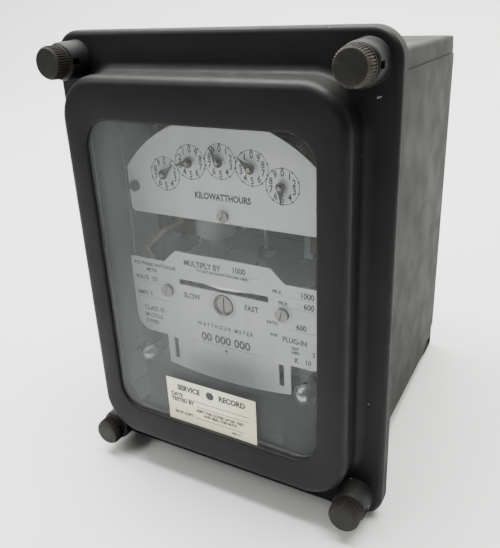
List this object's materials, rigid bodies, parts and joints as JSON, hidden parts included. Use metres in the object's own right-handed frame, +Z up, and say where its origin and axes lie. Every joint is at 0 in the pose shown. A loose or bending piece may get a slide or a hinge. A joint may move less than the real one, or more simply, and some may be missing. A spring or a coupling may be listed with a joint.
{
  "type": "switchboard watthour meter",
  "caption": "Flush-mounted induction watthour meter in a draw-out case, with pointer dials, a geared disc, a windowed cover and knurled nuts.",
  "frame": {"origin": "centre of the panel stud pattern, on the face that meets the panel", "axes": "+Y into the panel, -Y towards the reader, +X to the reader's right, +Z up"},
  "size_m": [0.168, 0.1985, 0.228],
  "materials": {
    "case_enamel": "satin olive-grey enamel",
    "cover_enamel": "satin near-black enamel",
    "bright_steel": "plated",
    "blackened_brass": "blackened, worn to brown on the knurl",
    "moulded_black": "moulded phenolic",
    "plug_grey": "moulded phenolic",
    "contact_brass": "tarnished",
    "gasket_rubber": "matt",
    "cover_glass": "clear, hazy with dust",
    "label_paper": "aged, stained",
    "retainer_steel": "black enamel",
    "knob_nickel": "polished nickel",
    "cradle_enamel": "grey enamel",
    "cast_aluminium": "as cast",
    "core_steel": "laminated steel",
    "coil_wrap": "varnished winding",
    "coil_copper": "enamelled copper",
    "magnet_iron": "painted",
    "gear_brass": "turned",
    "plate_silver": "satin silver-grey with printing",
    "lead_cotton": "cotton-covered wire",
    "disc_aluminium": "turned",
    "pointer_black": "matt black"
  },
  "bodies": {
    "case": {"case_frame": "case_enamel", "case_body": "case_enamel", "case_side_left": "case_enamel", "case_side_right": "case_enamel", "case_back": "case_enamel", "cover_studs": "bright_steel", "panel_studs": "bright_steel", "terminal_block": "moulded_black", "case_contacts": "contact_brass", "terminal_studs": "contact_brass", "terminal_nuts": "contact_brass", "cradle_guides": "bright_steel"},
    "cover": {"cover_flange": "cover_enamel", "cover_bezel": "cover_enamel", "seal_bosses": "cover_enamel", "cover_gasket": "gasket_rubber", "window_glass": "cover_glass", "glass_gasket": "gasket_rubber", "glass_retainer": "retainer_steel", "date_label": "label_paper"},
    "plug": {"connection_plug": "plug_grey", "plug_contacts": "contact_brass"},
    "cradle": {"cradle": "cradle_enamel", "cradle_block": "moulded_black", "cradle_contacts": "contact_brass", "meter_frame": "cast_aluminium", "voltage_cores": "core_steel", "voltage_coils": "coil_wrap", "current_cores": "core_steel", "current_coils": "coil_copper", "brake_magnets": "magnet_iron", "drag_magnet": "magnet_iron", "shaft_bearings": "gear_brass", "register_plates": "gear_brass", "register_pillars": "gear_brass", "dial_plate": "plate_silver", "dial_screws": "bright_steel", "nameplate": "plate_silver", "nameplate_screws": "bright_steel", "load_adjuster": "knob_nickel", "coil_leads": "lead_cotton"},
    "thumb_nut_top_left": {"thumb_nut_top_left": "blackened_brass"},
    "thumb_nut_top_right": {"thumb_nut_top_right": "blackened_brass"},
    "thumb_nut_bottom_left": {"thumb_nut_bottom_left": "blackened_brass"},
    "thumb_nut_bottom_right": {"thumb_nut_bottom_right": "blackened_brass"},
    "plug_screw_left": {"plug_screw_left": "knob_nickel"},
    "plug_screw_right": {"plug_screw_right": "knob_nickel"},
    "disc": {"meter_disc": "disc_aluminium", "disc_shaft": "bright_steel"},
    "worm_gear": {"worm_gear": "gear_brass"},
    "pointer_5": {"gear_arbor_5": "gear_brass", "pointer_5": "pointer_black"},
    "pointer_4": {"gear_arbor_4": "gear_brass", "pointer_4": "pointer_black"},
    "pointer_3": {"gear_arbor_3": "gear_brass", "pointer_3": "pointer_black"},
    "pointer_2": {"gear_arbor_2": "gear_brass", "pointer_2": "pointer_black"},
    "pointer_1": {"gear_arbor_1": "gear_brass", "pointer_1": "pointer_black"}
  },
  "joints": [
    {"name": "cover_pull", "type": "slide", "parent": "case", "child": "cover", "axis": [0, -1, 0], "range_m": [0, 0.3]},
    {"name": "plug_pull", "type": "slide", "parent": "case", "child": "plug", "axis": [0, -1, 0], "range_m": [0, 0.24]},
    {"name": "cradle_pull", "type": "slide", "parent": "case", "child": "cradle", "axis": [0, -1, 0], "range_m": [0, 0.15]},
    {"name": "thumb_nut_top_left_turn", "type": "hinge", "parent": "cover", "child": "thumb_nut_top_left", "pos_m": [-0.071, -0.0195, 0.101], "axis": [0, -1, 0], "continuous": true},
    {"name": "thumb_nut_top_right_turn", "type": "hinge", "parent": "cover", "child": "thumb_nut_top_right", "pos_m": [0.071, -0.0195, 0.101], "axis": [0, -1, 0], "continuous": true},
    {"name": "thumb_nut_bottom_left_turn", "type": "hinge", "parent": "cover", "child": "thumb_nut_bottom_left", "pos_m": [-0.071, -0.0195, -0.101], "axis": [0, -1, 0], "continuous": true},
    {"name": "thumb_nut_bottom_right_turn", "type": "hinge", "parent": "cover", "child": "thumb_nut_bottom_right", "pos_m": [0.071, -0.0195, -0.101], "axis": [0, -1, 0], "continuous": true},
    {"name": "plug_screw_left_turn", "type": "hinge", "parent": "plug", "child": "plug_screw_left", "pos_m": [-0.0452, 0, -0.0492], "axis": [0, -1, 0], "continuous": true},
    {"name": "plug_screw_right_turn", "type": "hinge", "parent": "plug", "child": "plug_screw_right", "pos_m": [0.0452, 0, -0.0492], "axis": [0, -1, 0], "continuous": true},
    {"name": "disc_spin", "type": "hinge", "parent": "cradle", "child": "disc", "pos_m": [0, 0.041, -0.006], "axis": [0, 0, 1], "continuous": true},
    {"name": "worm_gear_spin", "type": "hinge", "parent": "cradle", "child": "worm_gear", "pos_m": [0.0125, 0.02, 0.03589], "axis": [0, 1, 0], "continuous": true},
    {"name": "pointer_5_spin", "type": "hinge", "parent": "cradle", "child": "pointer_5", "pos_m": [0.03144, 0.01, 0.04805], "axis": [0, 1, 0], "continuous": true},
    {"name": "pointer_4_spin", "type": "hinge", "parent": "cradle", "child": "pointer_4", "pos_m": [0.01642, 0.01, 0.05489], "axis": [0, 1, 0], "continuous": true},
    {"name": "pointer_3_spin", "type": "hinge", "parent": "cradle", "child": "pointer_3", "pos_m": [0, 0.01, 0.0565], "axis": [0, 1, 0], "continuous": true},
    {"name": "pointer_2_spin", "type": "hinge", "parent": "cradle", "child": "pointer_2", "pos_m": [-0.01642, 0.01, 0.05489], "axis": [0, 1, 0], "continuous": true},
    {"name": "pointer_1_spin", "type": "hinge", "parent": "cradle", "child": "pointer_1", "pos_m": [-0.03144, 0.01, 0.04805], "axis": [0, 1, 0], "continuous": true}
  ],
  "couplings": [
    {"joint": "plug_pull", "follows": "cover_pull", "ratio": 0.8},
    {"joint": "cradle_pull", "follows": "cover_pull", "ratio": 0.5},
    {"joint": "worm_gear_spin", "follows": "disc_spin", "ratio": -0.02},
    {"joint": "pointer_5_spin", "follows": "disc_spin", "ratio": 0.01},
    {"joint": "pointer_4_spin", "follows": "disc_spin", "ratio": -0.001},
    {"joint": "pointer_3_spin", "follows": "disc_spin", "ratio": 0.0001},
    {"joint": "pointer_2_spin", "follows": "disc_spin", "ratio": -0.00001},
    {"joint": "pointer_1_spin", "follows": "disc_spin", "ratio": 0.000001}
  ]
}
